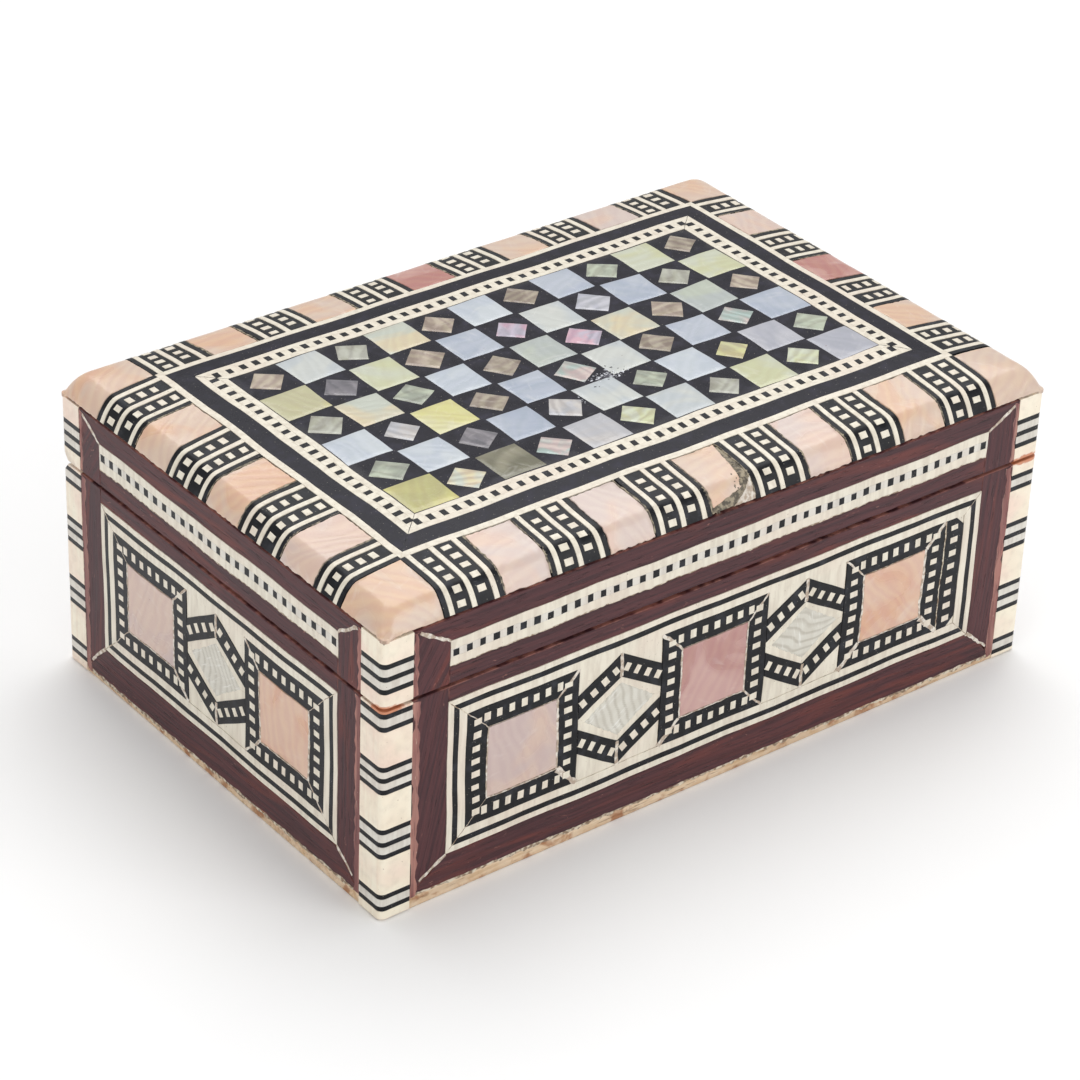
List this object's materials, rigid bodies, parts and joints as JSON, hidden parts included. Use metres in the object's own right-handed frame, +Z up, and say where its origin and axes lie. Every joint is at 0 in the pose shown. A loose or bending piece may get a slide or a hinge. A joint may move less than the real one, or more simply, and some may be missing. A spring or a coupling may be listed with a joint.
{
  "type": "inlaid wooden box",
  "caption": "Small rectangular wooden trinket box with mother-of-pearl, bone and dark wood inlay on every side and a hinged, gently domed lid.",
  "frame": {"origin": "middle of the underside of the bottom board", "axes": "+X along the long front side, to the right as seen from the front; +Y from the front to the back, where the hinges are; +Z up"},
  "size_m": [0.12, 0.0806, 0.0508],
  "materials": {
    "bone": "polished bone, cream, with black line inlay; ceramic stands in for bone",
    "pearl": "pink to peach mother-of-pearl, polished; glazed ceramic stands in for shell",
    "shell": "white, yellow and grey mother-of-pearl and abalone tiles set in dark resin",
    "mahogany": "red-brown to purple-brown veneer, fine straight grain, satin",
    "dark_resin": "blue-black filler, sanded flush, satin",
    "carcass_wood": "raw pale wood",
    "velvet": "dark red cloth lining",
    "brass": "rolled brass, dulled"
  },
  "bodies": {
    "base": {"base_floor": "carcass_wood", "base_wall_front": "carcass_wood", "base_wall_back": "carcass_wood", "base_wall_left": "carcass_wood", "base_wall_right": "carcass_wood", "base_post_front_left": "bone", "base_post_front_right": "bone", "base_post_back_left": "bone", "base_post_back_right": "bone", "base_veneer_front": "mahogany", "base_veneer_back": "mahogany", "base_veneer_left": "mahogany", "base_veneer_right": "mahogany", "base_inlay_front": "bone", "base_inlay_back": "bone", "base_inlay_left": "bone", "base_inlay_right": "bone", "base_lining": "velvet", "hinge_base_leaf_left": "brass", "hinge_base_leaf_right": "brass", "hinge_pin_left": "brass", "hinge_pin_right": "brass"},
    "lid": {"lid_board": "carcass_wood", "lid_rail_front": "carcass_wood", "lid_rail_back": "carcass_wood", "lid_rail_left": "carcass_wood", "lid_rail_right": "carcass_wood", "lid_post_front_left": "bone", "lid_post_front_right": "bone", "lid_post_back_left": "bone", "lid_post_back_right": "bone", "lid_veneer_front": "mahogany", "lid_veneer_back": "mahogany", "lid_veneer_left": "mahogany", "lid_veneer_right": "mahogany", "lid_dotted_strip_front": "bone", "lid_dotted_strip_back": "bone", "lid_dotted_strip_left": "bone", "lid_dotted_strip_right": "bone", "lid_border_front": "pearl", "lid_border_back": "pearl", "lid_border_left": "pearl", "lid_border_right": "pearl", "lid_corner_front_left": "pearl", "lid_corner_front_right": "pearl", "lid_corner_back_left": "pearl", "lid_corner_back_right": "pearl", "lid_bone_line": "bone", "lid_dark_band": "dark_resin", "lid_dotted_frame": "bone", "lid_checker_field": "shell", "lid_lining": "velvet", "hinge_lid_leaf_left": "brass", "hinge_lid_leaf_right": "brass"}
  },
  "joints": [
    {"name": "lid_hinge", "type": "hinge", "parent": "base", "child": "lid", "pos_m": [0, 0.0386, 0.03485], "axis": [-1, 0, 0], "range_deg": [0, 100]}
  ]
}
